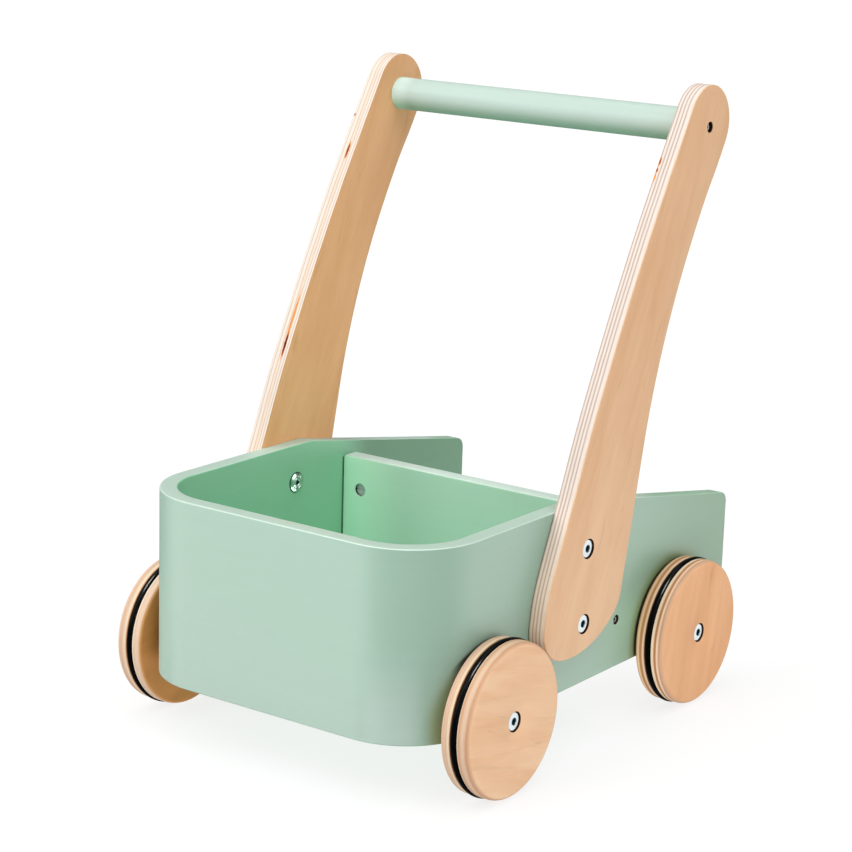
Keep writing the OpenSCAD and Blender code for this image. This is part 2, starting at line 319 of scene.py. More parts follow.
def sleeve_nut(r, thread, y, z, s):
    """Sleeve with a conical flange and a raised ring round the hexagon socket."""
    return lathe([(WI + 1, 0), (WI + 1, thread), (WX - 0.2, thread), (WX - 0.2, r), (WI, r), (WI, 8.5),
                  (WI - 0.3, 8.5), (WI - 0.5, 8.42), (WI - 0.68, 8.2), (WI - 0.82, 7.9), (WI - 1.2, 6.95), (WI - 1.6, 5.9),
                  (WI - 1.68, 5.6), (WI - 1.7, 5.3), (WI - 1.62, 5.0), (WI - 1.4, 4.7), (WI - 1.3, 4.45), (WI - 1.36, 4.2),
                  (WI - 1.55, 3.95), (WI - 1.7, 3.7), (WI - 1.78, 3.4), (WI - 1.8, 3.1), (WI - 1.76, 2.6),
                  (WI - 1.5, 2.0, "hex"), (WI + 0.4, 2.0, "hex"), (WI + 0.4, 0)], y, z, 96, s)


SIDES = (("left", -1.0), ("right", 1.0))
AXLES = (("front", AXLE_F), ("rear", AXLE_R))

wall = make("tub_wall_bent", [wall_shape()])
tools = []
for _, s in SIDES:
    for y, z in ARM_BOLTS:
        tools.append(hole(WI - 3, WX + 3, 4.3, y, z, s))
    for _, y in AXLES:
        tools.append(hole(WI - 3, WX + 3, 5.55, y, AXLE_Z, s))
    for z in PART_BOLTS:
        tools.append(lathe([(WI - 3, 0), (WI - 3, 2.65), (WX - 8, 2.65), (WX - 8, 3.9), (WX - 0.4, 3.9),
                            (WX + 3, 7.3), (WX + 3, 0)], PART_M, z, 48, s))
cut(wall, tools)

w = WI - 0.05
part_outline = ([(-w, PART_Z0), (w, PART_Z0)] + arc(w - 3.5, PART_Z1 - 3.5, 3.5, 0, 90, 8)
                + arc(-w + 3.5, PART_Z1 - 3.5, 3.5, 90, 180, 8))
partition = make("partition_board", [slab(part_outline, PART_T, (1.2, 1.2), lambda p, d: (p[0], PART_Y + d, p[1]), 5)])
cut(partition, [along_y(lathe([(-3, 0), (-3, 8.7), (0.7, 5.0), (11.5, 5.0), (11.5, 0)], 0, 0, 72), s * (WI - BARREL_IN), PART_Y, z)
                for _, s in SIDES for z in PART_BOLTS])

fr = CORNER - WALL - 0.05
floor_outline = (arc(-w + fr, WALL + 0.05 + fr, fr, 180, 270, 24) + arc(w - fr, WALL + 0.05 + fr, fr, 270, 360, 24)
                 + [(w, PART_Y - 0.05), (-w, PART_Y - 0.05)])
floor_board = make("floor_board", [slab(floor_outline, FLOOR_Z1 - FLOOR_Z0, (0.6, 0.6), lambda p, d: (p[0], p[1], FLOOR_Z0 + d), 2)])

arms = {}
for side, s in SIDES:
    ob = make("arm_%s_board" % side, [slab(arm_outline(), ARM_T, (0.8, 0.8), lambda p, d, s=s: (s * (WX + d), p[0], p[1]), 5)])
    xo = WX + ARM_T
    tools = [lathe([(WX - 3, 0), (WX - 3, BAR_R + 0.05), (WX + BAR_SEAT, BAR_R + 0.05), (WX + BAR_SEAT, 2.35),
                    (xo - 5.5, 2.35), (xo - 5.5, 4.25), (xo - 0.35, 4.25), (xo + 3, 7.6), (xo + 3, 0)], BAR_Y, BAR_Z, 96, s)]
    for y, z in ARM_BOLTS:
        tools.append(lathe([(WX - 3, 0), (WX - 3, 3.2), (xo - 3.2 - HEAD_SINK, 3.2), (xo - 3.2 - HEAD_SINK, 7.7),
                            (xo - 0.2, 7.7), (xo + 3, 10.9), (xo + 3, 0)], y, z, 96, s))
    arms[side] = cut(ob, tools)

bl = WX + BAR_SEAT - 0.05
bar = make("handle_rod", [lathe([(-bl + 42, 0), (-bl + 42, 2.3), (-bl, 2.3), (-bl, BAR_R - 0.5), (-bl + 0.5, BAR_R)]
                                + [(-120 + 40 * i, BAR_R) for i in range(7)]
                                + [(bl - 0.5, BAR_R), (bl, BAR_R - 0.5), (bl, 2.3), (bl - 42, 2.3), (bl - 42, 0)],
                                BAR_Y, BAR_Z, 128)])

hs = WX + ARM_T - 5.5
screws = make("handle_screw_pair", [lathe([(WX + BAR_SEAT - 40, 0), (WX + BAR_SEAT - 40, 1.6), (WX + BAR_SEAT - 37, 2.25),
                                           (hs, 2.25), (hs, 3.7), (hs + 2.2, 3.7), (hs + 2.6, 3.35), (hs + 2.85, 2.75), (hs + 3, 2.1),
                                           (hs + 3, 1.95), (hs + 2.75, 1.5, "hex"), (hs + 1, 1.5, "hex"), (hs + 0.8, 0)],
                                          BAR_Y, BAR_Z, 72, s) for _, s in SIDES])
ha = WX + ARM_T - HEAD_SINK
arm_bolts = make("arm_bolt_set", [head(ha, y, z, s, [(WI + 1.5, 0), (WI + 1.5, 2.55), (WI + 1.9, 2.95), (ha - 3.2, 2.95)])
                                  for _, s in SIDES for y, z in ARM_BOLTS])
arm_nuts = make("arm_nut_set", [sleeve_nut(4.25, 3.0, y, z, s) for _, s in SIDES for y, z in ARM_BOLTS])
hp = WX - 1.5
be = WI - BARREL_IN - 5
part_bolts = make("partition_bolt_set", [lathe([(be, 0), (be, 2.05), (be + 0.4, 2.45), (hp - 4.5, 2.45), (hp - 4.5, 3.6),
                                                (hp - 0.45, 3.6), (hp - 0.15, 3.45), (hp, 3.15), (hp, 1.95), (hp - 0.25, 1.5, "hex"),
                                                (hp - 2.4, 1.5, "hex"), (hp - 2.6, 0)], PART_M, z, 72, s)
                                         for _, s in SIDES for z in PART_BOLTS])
hx = WHEEL_O - HEAD_SINK
axle_bolts = make("axle_bolt_set", [head(hx, y, AXLE_Z, s, [(WI + 1.5, 0), (WI + 1.5, 3.5), (WI + 2, 3.95), (WX, 3.95), (WX, 4.75),
                                                            (WX + 0.2, 4.95), (hx - 3.2, 4.95)])
                                    for _, s in SIDES for _, y in AXLES])
axle_nuts = make("axle_nut_set", [sleeve_nut(5.5, 4.0, y, AXLE_Z, s) for _, s in SIDES for _, y in AXLES])

wheels, tyres = {}, {}
for end, y in AXLES:
    for side, s in SIDES:
        m, g, gr, r = WHEEL_X + TYRE_IN, TYRE_S + 0.05, TYRE_R - TYRE_S - 0.05, WHEEL_R
        ri, ro = 3.0, 4.0
        profile = ([(SEAT_X, 7.05), (WHEEL_X, 7.05), (WHEEL_X, 30.0)]
                   + [p for p in arc(WHEEL_X + ri, r - ri, ri, 180, 90, 6)]
                   + [(m - g - 0.7, r), (m - g - 0.35, r - 0.12), (m - g - 0.1, r - 0.4), (m - g, r - 0.8),
                      (m - g, gr + 0.6), (m - g + 0.6, gr), (m + g - 0.6, gr), (m + g, gr + 0.6),
                      (m + g, r - 0.8), (m + g + 0.1, r - 0.4), (m + g + 0.35, r - 0.12), (m + g + 0.7, r)]
                   + [p for p in arc(WHEEL_O - ro, r - ro, ro, 90, 0, 10)]
                   + [(WHEEL_O, 30.0), (WHEEL_O, 8.0), (WHEEL_O - 0.1, 7.8), (WHEEL_O - 0.3, 7.7), (SEAT_X, 7.7)])
        name = "%s_%s" % (end, side)
        wheels[name] = make("wheel_%s_ply" % name, [lathe(profile, y, AXLE_Z, 192, s, closed=True)])
        ring = [(m + TYRE_S * math.cos(2 * math.pi * i / 40), TYRE_R + TYRE_S * math.sin(2 * math.pi * i / 40)) for i in range(40)]
        tyres[name] = make("tyre_%s_ring" % name, [lathe(ring, y, AXLE_Z, 192, s, closed=True)])


# ---- materials ---------------------------------------------------------------------------

class Shade:
    """A procedural material: small helpers round its node tree."""

    def __init__(self, name):
        self.mat = bpy.data.materials.new(name)
        self.mat.use_nodes = True
        self.t = self.mat.node_tree
        self.t.nodes.clear()
        out = self.t.nodes.new("ShaderNodeOutputMaterial")
        self.bsdf = self.t.nodes.new("ShaderNodeBsdfPrincipled")
        self.t.links.new(self.bsdf.outputs[0], out.inputs[0])
        coord = self.t.nodes.new("ShaderNodeTexCoord")
        self.p = coord.outputs["Object"]
        self.n = coord.outputs["Normal"]

    def put(self, socket, value):
        if isinstance(value, bpy.types.NodeSocket):
            self.t.links.new(value, socket)
        elif isinstance(value, (tuple, list)) and len(value) == 3 and len(socket.default_value) == 4:
            socket.default_value = (*value, 1.0)
        else:
            socket.default_value = value

    def set(self, name, value):
        self.put(self.bsdf.inputs[name], value)

    def math(self, op, a, b=0.0, c=0.0, clamp=False):
        node = self.t.nodes.new("ShaderNodeMath")
        node.operation = op
        node.use_clamp = clamp
        for i, v in enumerate((a, b, c)):
            self.put(node.inputs[i], v)
        return node.outputs[0]

    def vec(self, op, a, b=None):
        node = self.t.nodes.new("ShaderNodeVectorMath")
        node.operation = op
        self.put(node.inputs[0], a)
        if b is not None:
            self.put(node.inputs[1], b)
        return node.outputs["Value"] if op in ("DOT_PRODUCT", "LENGTH") else node.outputs[0]

    def split(self, v):
        node = self.t.nodes.new("ShaderNodeSeparateXYZ")
        self.put(node.inputs[0], v)
        return node.outputs[0], node.outputs[1], node.outputs[2]

    def join(self, x, y, z):
        node = self.t.nodes.new("ShaderNodeCombineXYZ")
        for i, v in enumerate((x, y, z)):
            self.put(node.inputs[i], v)
        return node.outputs[0]

    def noise(self, v, scale=1.0, detail=2.0, rough=0.5, bend=0.0):
        node = self.t.nodes.new("ShaderNodeTexNoise")
        self.put(node.inputs["Vector"], v)
        for key, val in (("Scale", scale), ("Detail", detail), ("Roughness", rough), ("Distortion", bend)):
            node.inputs[key].default_value = val
        return node.outputs[0]

    def smooth(self, v, lo, hi):
        node = self.t.nodes.new("ShaderNodeMapRange")
        node.interpolation_type = "SMOOTHSTEP"
        self.put(node.inputs["Value"], v)
        node.inputs["From Min"].default_value = lo
        node.inputs["From Max"].default_value = hi
        return node.outputs[0]

    def mix(self, f, a, b, blend="MIX"):
        node = self.t.nodes.new("ShaderNodeMix")
        node.data_type = "RGBA"
        node.blend_type = blend
        node.clamp_factor = True
        self.put(node.inputs[0], f)
        self.put(node.inputs[6], a)
        self.put(node.inputs[7], b)
        return node.outputs[2]

    def bump(self, height, strength, distance, normal=None):
        node = self.t.nodes.new("ShaderNodeBump")
        node.inputs["Strength"].default_value = strength
        node.inputs["Distance"].default_value = distance
        self.put(node.inputs["Height"], height)
        if normal is not None:
            self.put(node.inputs["Normal"], normal)
        return node.outputs[0]

    def around(self, f, spread):
        """Noise about its mean, times spread."""
        return self.math("MULTIPLY", self.math("SUBTRACT", f, 0.5), spread)


def tone(c, k):
    return tuple(min(1.0, v * k) for v in c)


def paint(name, base, seed, rough=0.42, top_light=None, left_end_light=None, wheel_shadow_axles=(), rear_shade=None, gloss=0.5,
          partition_shadow_y=None, underside_shade=None, brush=1.0, corner_light=(), wheel_shade=None, warm=()):
    """Satin paint on sanded wood: faint lengthwise streaks, roller texture and slow changes of tone.
    rim is the tone of faces turned up and of their rounded borders: painted light on the flat tops and a painted
    highlight on the borders. ends is (from, to, factor) in -x (mm): painted light, paler towards the left end. gaps are
    axles (y) behind whose wheels the side wall takes a painted shadow. fade is (from, to, tone) in y (mm): painted
    shade, a darker tone that sets in towards the rear. joint is the y (mm) of a painted shadow line where the partition
    meets the wall. under is the factor of painted shade on faces turned down, with a paler belt of painted light above
    it. brush is the strength of the streaks. bends are (direction x, y of the bend's face, from, to, heights, factor)
    of painted light low on the front corners, beside is (axle y, factor low, factor high) of painted light and shade on
    the wall ahead of a wheel, warm are (axle y, from, to) of the painted warm shade close to a wheel (m). Towards the
    rear, the lighter tone of rim dulls too (painted shade)."""
    m = Shade(name)
    at = m.vec("ADD", m.p, (seed, seed * 0.7, seed * 1.3))
    broad = m.noise(at, 7.0, 3.0, 0.55)
    streak = m.noise(m.vec("MULTIPLY", at, (9.0, 9.0, 210.0)), 1.0, 4.0, 0.6)
    fine = m.noise(at, 420.0, 2.0, 0.6)
    peel = m.noise(at, 950.0, 1.0, 0.5)
    f = m.math("ADD", m.math("ADD", m.around(broad, 0.8), m.around(streak, 0.55 * brush)),
               m.math("ADD", m.around(fine, 0.35), 0.5), clamp=True)
    px, py, pz = m.split(m.p)
    col = m.mix(f, tone(base, 0.945), tone(base, 1.055))
    # painted shade: the paint turns to a darker tone towards the rear
    if rear_shade is not None:
        k = m.smooth(py, (rear_shade[0] + Y0) * MM, (rear_shade[1] + Y0) * MM)
        col = m.mix(k, col, m.mix(f, tone(rear_shade[2], 0.93), tone(rear_shade[2], 1.07)))
    # painted light: paler towards the left end, where shade falls next to the side wall or the arm
    if left_end_light is not None:
        k = m.smooth(m.math("MULTIPLY", px, -1.0), left_end_light[0] * MM, left_end_light[1] * MM)
        col = m.mix(k, col, m.mix(1.0, col, left_end_light[2], "MULTIPLY"))
    # painted light: paler places low on the front corners
    for bx, by, b0, b1, z0, z1, factor in corner_light:
        nx, ny, _ = m.split(m.n)
        k = m.smooth(m.math("ADD", m.math("MULTIPLY", nx, bx), m.math("MULTIPLY", ny, by)), b0, b1)
        k = m.math("MULTIPLY", k, m.math("SUBTRACT", 1.0, m.smooth(pz, z0 * MM, z1 * MM)))
        k = m.math("MULTIPLY", k, m.math("SUBTRACT", 1.0, m.smooth(py, (CORNER + Y0) * MM, (CORNER + 20.0 + Y0) * MM)))
        col = m.mix(k, col, m.mix(1.0, col, factor, "MULTIPLY"))
    # painted light low down and painted shade higher up, on the wall ahead of the rear wheel
    if wheel_shade is not None:
        d = m.vec("LENGTH", m.join(0.0, m.math("SUBTRACT", py, (wheel_shade[0] + Y0) * MM), m.math("SUBTRACT", pz, AXLE_Z * MM)))
        high = m.smooth(pz, (AXLE_Z + 20.0) * MM, (AXLE_Z + 55.0) * MM)
        k = m.math("MULTIPLY", m.math("SUBTRACT", 1.0, m.smooth(d, 0.070, 0.125)),
                   m.math("ADD", m.math("MULTIPLY", m.smooth(pz, 46.0 * MM, 88.0 * MM), 0.6), 0.4))
        k = m.math("MULTIPLY", k, m.math("SUBTRACT", 1.0, m.smooth(py, (wheel_shade[0] - 30.0 + Y0) * MM, (wheel_shade[0] + Y0) * MM)))
        col = m.mix(k, col, m.mix(1.0, col, m.mix(high, wheel_shade[1], wheel_shade[2]), "MULTIPLY"))
    for gy, d0, d1 in warm:
        d = m.vec("LENGTH", m.join(0.0, m.math("SUBTRACT", py, (gy + Y0) * MM), m.math("SUBTRACT", pz, AXLE_Z * MM)))
        k = m.math("MULTIPLY", m.math("SUBTRACT", 1.0, m.smooth(d, d0, d1)), m.smooth(m.math("ABSOLUTE", px), 0.100, 0.115))
        col = m.mix(k, col, m.mix(1.0, col, (0.82, 0.78, 0.55), "MULTIPLY"))
    # painted shadow: a dark disc on the side wall behind each wheel
    for gy in wheel_shadow_axles:
        d = m.vec("LENGTH", m.join(0.0, m.math("SUBTRACT", py, (gy + Y0) * MM), m.math("SUBTRACT", pz, AXLE_Z * MM)))
        k = m.math("MULTIPLY", m.math("SUBTRACT", 1.0, m.smooth(d, 0.0540, 0.0570)),
                   m.smooth(m.math("ABSOLUTE", px), (WX - 4.5) * MM, (WX - 0.3) * MM))
        col = m.mix(k, col, tone(base, 0.10))
    # painted shadow: a dark line on the inner wall where the partition meets it
    if partition_shadow_y is not None:
        d = m.math("ABSOLUTE", m.math("SUBTRACT", py, (partition_shadow_y + Y0) * MM))
        k = m.math("MULTIPLY", m.math("SUBTRACT", 1.0, m.smooth(d, 0.0010, 0.0019)),
                   m.math("SUBTRACT", 1.0, m.smooth(pz, (PART_Z1 - 3.0) * MM, (PART_Z1 - 1.0) * MM)))
        col = m.mix(k, col, tone(base, 0.30))
    # painted shade on faces turned down, with painted light on a belt above them
    if underside_shade is not None:
        _, _, nz = m.split(m.n)
        belt = m.mix(m.smooth(nz, 0.30, 0.65), m.mix(1.0, col, (1.09, 1.06, 1.10), "MULTIPLY"), m.mix(1.0, col, (0.99, 0.965, 0.99), "MULTIPLY"))
        col = m.mix(m.smooth(nz, -0.95, 0.05), m.mix(1.0, col, underside_shade, "MULTIPLY"), belt)
    # painted light: faces turned up take the lighter top tone, and their rounded borders a painted highlight
    if top_light is not None:
        _, _, nz = m.split(m.n)
        flat, border = top_light
        edge = m.mix(m.smooth(nz, 0.90, 0.995), border, m.mix(f, tone(flat, 0.94), tone(flat, 1.06)))
        # painted shade: towards the rear the lighter top tone darkens too
        if rear_shade is not None:
            k = m.smooth(m.math("ADD", py, m.math("MULTIPLY", px, 0.3)), (320.0 + Y0) * MM, (360.0 + Y0) * MM)
            edge = m.mix(k, edge, m.mix(1.0, edge, (0.68, 0.82, 0.69), "MULTIPLY"))
        col = m.mix(m.smooth(nz, 0.20, 0.60), col, edge)
    m.set("Base Color", col)
    m.set("Roughness", m.math("ADD", m.around(fine, 0.10), m.math("ADD", m.around(broad, 0.08), rough)))
    m.set("Specular IOR Level", gloss)
    h = m.math("ADD", m.math("MULTIPLY", streak, 0.5), m.math("MULTIPLY", peel, 0.5))
    m.set("Normal", m.bump(h, 0.14, 0.0006))
    return m.mat


def birch(name, outer, lean, seed, warm, pale, plies, figure=1.0, knots=(), centre=(0.0, 0.0), inside=None, wall_shadow_z=None,
          groove=None, low=None, flame=0.0, foot_light=None, shaded=None):
    """Clear-lacquered birch plywood. The plies lie across X, counted from the outer face at |x| = outer (mm):
    plies is a list of (depth in mm, colour) across the edge. The face grain leans back by lean degrees from upright.
    inside is the tone of the face turned to the wall, a darker copy of the wood that is painted shade; seam is the
    height (m) below which a painted shadow darkens the arm's edge along the wall. groove is (depth, depth, colour) of a
    turned groove, whose dark colour is painted shade; low is the factor of painted light on the plies near the bottom;
    flame is the strength of broad wavy bands in the face veneer; foot is (from, to, factor), painted light on the face
    by height (m). shaded is a factor of painted shade on the face turned to the wall; foot then only changes that face."""
    m = Shade(name)
    x, y, z = m.split(m.p)
    y = m.math("SUBTRACT", y, centre[0])
    z = m.math("SUBTRACT", z, centre[1])
    a = math.radians(lean)
    along = m.math("ADD", m.math("MULTIPLY", y, math.sin(a)), m.math("MULTIPLY", z, math.cos(a)))
    across = m.math("SUBTRACT", m.math("MULTIPLY", y, math.cos(a)), m.math("MULTIPLY", z, math.sin(a)))
    # face veneer
    warp = m.around(m.noise(m.join(m.math("MULTIPLY", along, 9.0), m.math("MULTIPLY", across, 14.0), seed), 1.0, 2.0), 0.016)
    ax = m.math("ADD", across, warp)
    band = m.noise(m.join(m.math("MULTIPLY", along, 5.0), m.math("MULTIPLY", ax, 62.0), seed + 3.1), 1.0, 4.0, 0.6)
    fibre = m.noise(m.join(m.math("MULTIPLY", along, 26.0), m.math("MULTIPLY", ax, 640.0), seed + 7.7), 1.0, 3.0, 0.65)
    cloud = m.noise(m.join(m.math("MULTIPLY", along, 11.0), m.math("MULTIPLY", across, 30.0), seed + 1.9), 1.0, 3.0, 0.6)
    fleck = m.noise(m.join(m.math("MULTIPLY", along, 120.0), m.math("MULTIPLY", ax, 1150.0), seed + 5.3), 1.0, 2.0, 0.5)
    f = m.math("ADD", m.math("ADD", m.around(band, 1.3 * figure), m.around(fibre, 0.45)),
               m.math("ADD", m.around(cloud, 1.2 * figure), 0.55), clamp=True)
    face = m.mix(f, warm, pale)
    # darker figure in short tongues along the grain
    tongue = m.noise(m.join(m.math("MULTIPLY", along, 16.0), m.math("MULTIPLY", ax, 110.0), seed + 9.2), 1.0, 3.0, 0.6, 0.6)
    face = m.mix(m.math("MULTIPLY", m.smooth(tongue, 0.60, 0.76), 0.55 * figure), face, tone(warm, 0.80))
    face = m.mix(m.math("MULTIPLY", m.smooth(fleck, 0.66, 0.78), 0.30), face, tone(warm, 0.72))
    if flame > 0.0:
        wave = m.noise(m.join(m.math("MULTIPLY", along, 8.0), m.math("MULTIPLY", ax, 70.0), seed + 15.0), 1.0, 2.0, 0.5, 0.7)
        face = m.mix(m.math("MULTIPLY", m.smooth(wave, 0.54, 0.66), flame), face, (warm[0] * 0.93, warm[1] * 0.80, warm[2] * 0.70))
        face = m.mix(m.math("MULTIPLY", m.math("SUBTRACT", 1.0, m.smooth(wave, 0.33, 0.42)), flame), face, tone(pale, 1.12))
    nx, ny, nz = m.split(m.n)
    depth = m.math("SUBTRACT", outer, m.math("MULTIPLY", m.math("ABSOLUTE", x), 1000.0))
    turned = face if shaded is None else m.mix(1.0, face, shaded, "MULTIPLY")
    # painted light: the face grows paler low down
    if foot_light is not None:
        turned = m.mix(m.smooth(m.math("ADD", z, centre[1]), foot_light[0], foot_light[1]), m.mix(1.0, turned, foot_light[2], "MULTIPLY"), turned)
    face = turned if shaded is None else m.mix(m.smooth(depth, 8.0, 9.0), face, turned)
    # painted shade: the face turned to the wall takes a darker, more orange copy of the wood
    if inside is not None:
        face = m.mix(m.smooth(depth, 8.0, 9.0), face, m.mix(f, tone(inside, 0.8), tone(inside, 1.12)))
    # plies on the edges
    wob = m.math("ADD", depth, m.around(m.noise(m.p, 55.0, 2.0), 0.5))
    node = m.t.nodes.new("ShaderNodeValToRGB")
    thick = plies[-1][0]
    while len(node.color_ramp.elements) < len(plies):
        node.color_ramp.elements.new(0.5)
    for i, (d, c) in enumerate(plies):
        node.color_ramp.elements[i].position = d / thick
        node.color_ramp.elements[i].color = (*c, 1.0)
    m.put(node.inputs[0], m.math("DIVIDE", wob, thick))
    long_grain = m.noise(m.vec("MULTIPLY", m.p, (900.0, 60.0, 60.0)), 1.0, 3.0, 0.6)
    speck = m.noise(m.p, 1500.0, 2.0, 0.7)
    end = m.math("POWER", m.math("ADD", m.math("MULTIPLY", ny, math.sin(a)), m.math("MULTIPLY", nz, math.cos(a))), 2.0)
    e = m.math("ADD", m.around(long_grain, 0.9), m.math("ADD", m.around(speck, 0.7), m.math("ADD", m.math("MULTIPLY", end, -0.22), 0.62)), clamp=True)
    edge = m.mix(1.0, node.outputs[0], m.mix(e, (0.78, 0.74, 0.70), (1.0, 1.0, 1.0)), "MULTIPLY")
    # painted light: paler plies near the bottom of the edges
    if low is not None:
        edge = m.mix(m.smooth(m.math("ADD", z, centre[1]), 0.11, 0.22), m.mix(1.0, edge, low, "MULTIPLY"), edge)
    side = m.math("SUBTRACT", 1.0, m.smooth(m.math("ABSOLUTE", nx), 0.72, 0.97))
    col = m.mix(side, face, edge)
    # painted shade: a dark tone in the turned groove
    if groove is not None:
        g0, g1, gc = groove
        within = m.math("MULTIPLY", m.smooth(depth, g0 - 0.10, g0 - 0.04), m.math("SUBTRACT", 1.0, m.smooth(depth, g1 + 0.04, g1 + 0.10)))
        col = m.mix(within, col, m.mix(speck, tone(gc, 0.7), tone(gc, 1.4)))
    # small knots and voids in the inner plies: (place in mm, half sizes along x, along the edge and across,
    # lean of the edge, darkness of the core from 0 to 1)
    for (kx, ky, kz), (hx, ha, hc), tilt, core in knots:
        t = math.radians(tilt)
        q = m.vec("SUBTRACT", m.p, (kx * MM, (ky + Y0) * MM, kz * MM))
        qx, qy, qz = m.split(q)
        qa = m.math("ADD", m.math("MULTIPLY", qy, math.sin(t)), m.math("MULTIPLY", qz, math.cos(t)))
        qc = m.math("SUBTRACT", m.math("MULTIPLY", qy, math.cos(t)), m.math("MULTIPLY", qz, math.sin(t)))
        d = m.vec("LENGTH", m.join(m.math("DIVIDE", qx, hx * MM), m.math("DIVIDE", qa, ha * MM), m.math("DIVIDE", qc, hc * MM)))
        d = m.math("ADD", d, m.around(m.noise(m.p, 380.0, 2.0), 0.5))
        col = m.mix(m.math("SUBTRACT", 1.0, m.smooth(d, 0.65, 1.10)), col, (0.74, 0.26, 0.035))
        if core > 0.0:
            col = m.mix(m.math("MULTIPLY", m.math("SUBTRACT", 1.0, m.smooth(d, 0.52, 0.88)), core), col, (0.22, 0.012, 0.004))
            col = m.mix(m.math("MULTIPLY", m.math("SUBTRACT", 1.0, m.smooth(d, 0.22, 0.52)), core), col, (0.010, 0.003, 0.003))
    # painted shadow: a dark line along the arm's edge where it meets the wall, below the top of the wall
    if wall_shadow_z is not None:
        low = m.math("SUBTRACT", 1.0, m.smooth(m.math("ADD", z, centre[1]), wall_shadow_z - 0.004, wall_shadow_z))
        col = m.mix(m.math("MULTIPLY", m.math("MULTIPLY", low, side), m.smooth(depth, 13.6, 14.3)), col, (0.05, 0.045, 0.03))
    m.set("Base Color", col)
    m.set("Roughness", m.math("ADD", m.around(fibre, 0.16), m.math("ADD", m.math("MULTIPLY", side, 0.14), 0.42)))
    m.set("Specular IOR Level", 0.2)
    grain = m.mix(side, fibre, m.math("MULTIPLY", long_grain, 0.5))
    m.set("Normal", m.bump(grain, 0.16, 0.0005))
    return m.mat


def metal(name, base, rough, seed, scratch, metallic=1.0):
    """Zinc plate: turned rings of fine scratches, cloudy passivation."""
    m = Shade(name)
    cloud = m.noise(m.p, 260.0 + seed, 3.0, 0.6)
    fine = m.noise(m.vec("MULTIPLY", m.p, (2600.0, 1400.0, 1400.0)), 1.0, 3.0, 0.7)
    m.set("Base Color", m.mix(m.math("ADD", m.around(cloud, 1.3), m.math("ADD", m.around(fine, 0.5), 0.5), clamp=True),
                              tone(base, 0.85), tone(base, 1.06)))
    m.set("Metallic", metallic)
    m.set("Roughness", m.math("ADD", m.around(cloud, 0.12), m.math("ADD", m.around(fine, 0.10), rough)))
    m.set("Normal", m.bump(fine, scratch, 0.0002))
    return m.mat


def rubber(name):
    """Moulded black rubber with a soft gloss and a little dust."""
    m = Shade(name)
    dust = m.noise(m.p, 120.0, 3.0, 0.6)
    grit = m.noise(m.p, 1600.0, 2.0, 0.6)
    m.set("Base Color", m.mix(m.math("ADD", m.around(dust, 1.2), m.math("ADD", m.around(grit, 0.6), 0.4), clamp=True),
                              (0.0008, 0.0008, 0.0008), (0.0030, 0.0027, 0.0027)))
    m.set("Roughness", m.math("ADD", m.around(dust, 0.08), m.math("ADD", m.around(grit, 0.08), 0.15)))
    m.set("Specular IOR Level", 0.06)
    m.set("Normal", m.bump(grit, 0.08, 0.0003))
    return m.mat


def plastic(name):
    """Natural nylon: slightly yellow, cloudy, matt."""
    m = Shade(name)
    cloud = m.noise(m.p, 180.0, 3.0, 0.6)
    fine = m.noise(m.p, 2000.0, 2.0, 0.6)
    m.set("Base Color", m.mix(m.math("ADD", m.around(cloud, 1.0), 0.5, clamp=True), (0.62, 0.60, 0.53), (0.76, 0.75, 0.70)))
    m.set("Roughness", m.math("ADD", m.around(fine, 0.2), 0.5))
    m.set("Normal", m.bump(fine, 0.08, 0.0002))
    return m.mat


def bore_shade(name, base):
    """Wood inside a hole: torn end grain on a dark base that is painted shade."""
    m = Shade(name)
    torn = m.noise(m.vec("MULTIPLY", m.p, (2200.0, 900.0, 900.0)), 1.0, 3.0, 0.65)
    m.set("Base Color", m.mix(torn, tone(base, 0.55), tone(base, 1.6)))
    m.set("Roughness", m.math("ADD", m.around(torn, 0.2), 0.8))
    m.set("Specular IOR Level", 0.1)
    m.set("Normal", m.bump(torn, 0.4, 0.0003))
    return m.mat


# the outside copy of the wall's paint, duller to stand for a painted sheen
MINT_OUTSIDE_SHEEN = (0.303, 0.457, 0.364)
# painted light for the flat tops of the wall and a painted highlight for their rounded borders
TOP_LIGHT = ((0.42, 0.555, 0.468), (0.57, 0.69, 0.62))
paint_wall = paint("mint_paint_wall", MINT_OUTSIDE_SHEEN, 0.0, top_light=TOP_LIGHT, wheel_shadow_axles=(AXLE_F, AXLE_R), rear_shade=(230.0, 420.0, (0.215, 0.358, 0.250)),
                   corner_light=((0.485, -0.875, 0.9135, 0.9925, 50.0, 130.0, (1.33, 1.15, 1.26)),
                          (-0.707, -0.707, 0.870, 0.980, 50.0, 165.0, (1.25, 1.17, 1.21))),
                   wheel_shade=(AXLE_R, (1.20, 1.25, 1.12), (0.97, 1.0, 0.96)),
                   warm=((AXLE_F, 0.046, 0.057), (AXLE_R, 0.057, 0.067)))
paint_inside_shaded = paint("mint_paint_inside_shaded", (0.28, 0.60, 0.395), 1.9, rear_shade=(240.0, 285.0, (0.16, 0.33, 0.212)), gloss=0.2, partition_shadow_y=PART_Y)
paint_panel = paint("mint_paint_panel", (0.44, 0.66, 0.515), 3.7, top_light=((0.57, 0.71, 0.64), TOP_LIGHT[1]), left_end_light=(55.0, 135.0, (1.75, 1.75, 1.75)), gloss=0.25)
paint_floor = paint("mint_paint_floor", (0.33, 0.62, 0.45), 5.2, gloss=0.25)
paint_bar = paint("mint_paint_bar", (0.46, 0.59, 0.51), 8.1, 0.45, gloss=0.3, underside_shade=(0.46, 0.69, 0.56), brush=1.7, left_end_light=(120.0, 141.0, (1.66, 1.78, 1.90)))

